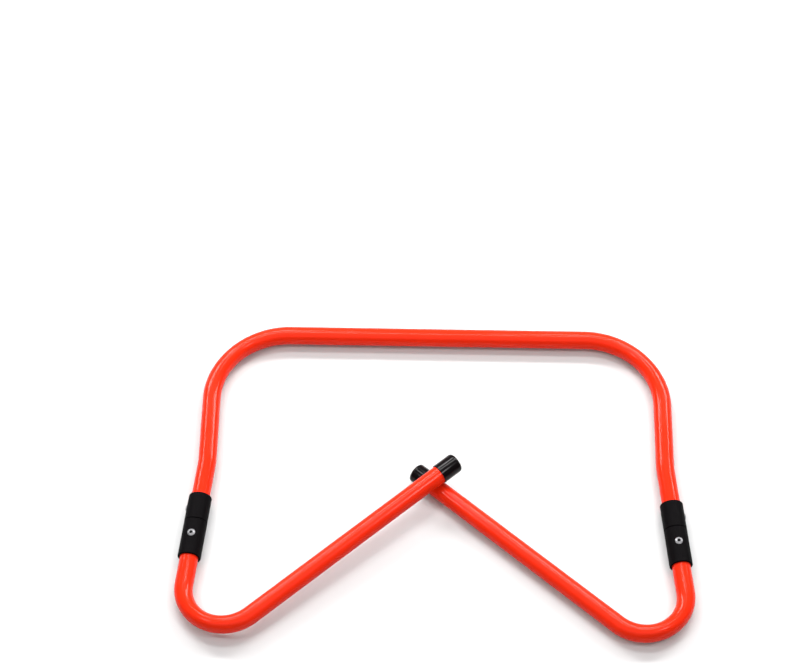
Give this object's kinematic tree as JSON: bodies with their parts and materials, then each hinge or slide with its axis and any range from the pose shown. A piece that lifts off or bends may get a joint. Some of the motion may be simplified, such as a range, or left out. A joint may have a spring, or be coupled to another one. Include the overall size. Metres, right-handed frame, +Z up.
{
  "type": "speed hurdle",
  "caption": "Low folding training hurdle: a bent tube frame on swivel sockets that carry J-shaped legs, which lie crossed inside the frame when folded.",
  "frame": {"origin": "on the ground, in the middle of the folded outline", "axes": "+X along the crossbar, +Y from the bends of the legs to the crossbar, +Z up from the ground it lies on"},
  "size_m": [0.5518, 0.3868, 0.046],
  "materials": {
    "tube": "smooth orange-red plastic tube with a soft gloss",
    "socket": "black moulded plastic, satin",
    "end_cap": "black dipped plastic with a soft gloss",
    "rivet": "bright, as drawn",
    "steel": "zinc plated",
    "friction_disc": "natural nylon"
  },
  "bodies": {
    "frame": {"frame_tube": "tube", "left_upper_socket": "socket", "left_upper_rivet": "rivet", "left_upper_rivet_stem": "steel", "left_swivel_bolt": "steel", "left_friction_disc": "friction_disc", "left_nut_washer": "steel", "left_lock_nut": "steel", "right_upper_socket": "socket", "right_upper_rivet": "rivet", "right_upper_rivet_stem": "steel", "right_swivel_bolt": "steel", "right_friction_disc": "friction_disc", "right_nut_washer": "steel", "right_lock_nut": "steel"},
    "left_leg": {"left_lower_socket": "socket", "left_lower_rivet": "rivet", "left_lower_rivet_stem": "steel", "left_leg_tube": "tube", "left_end_cap": "end_cap"},
    "right_leg": {"right_lower_socket": "socket", "right_lower_rivet": "rivet", "right_lower_rivet_stem": "steel", "right_leg_tube": "tube", "right_end_cap": "end_cap"}
  },
  "joints": [
    {"name": "left_leg_swivel", "type": "hinge", "parent": "frame", "child": "left_leg", "pos_m": [-0.25802, -0.06021, 0.0125], "axis": [-0.1028, -0.9947, 0], "range_deg": [0, 90]},
    {"name": "right_leg_swivel", "type": "hinge", "parent": "frame", "child": "right_leg", "pos_m": [0.25802, -0.06021, 0.0125], "axis": [-0.1028, 0.9947, 0], "range_deg": [0, 85.5]}
  ],
  "couplings": [
    {"joint": "right_leg_swivel", "follows": "left_leg_swivel", "ratio": 0.95}
  ]
}
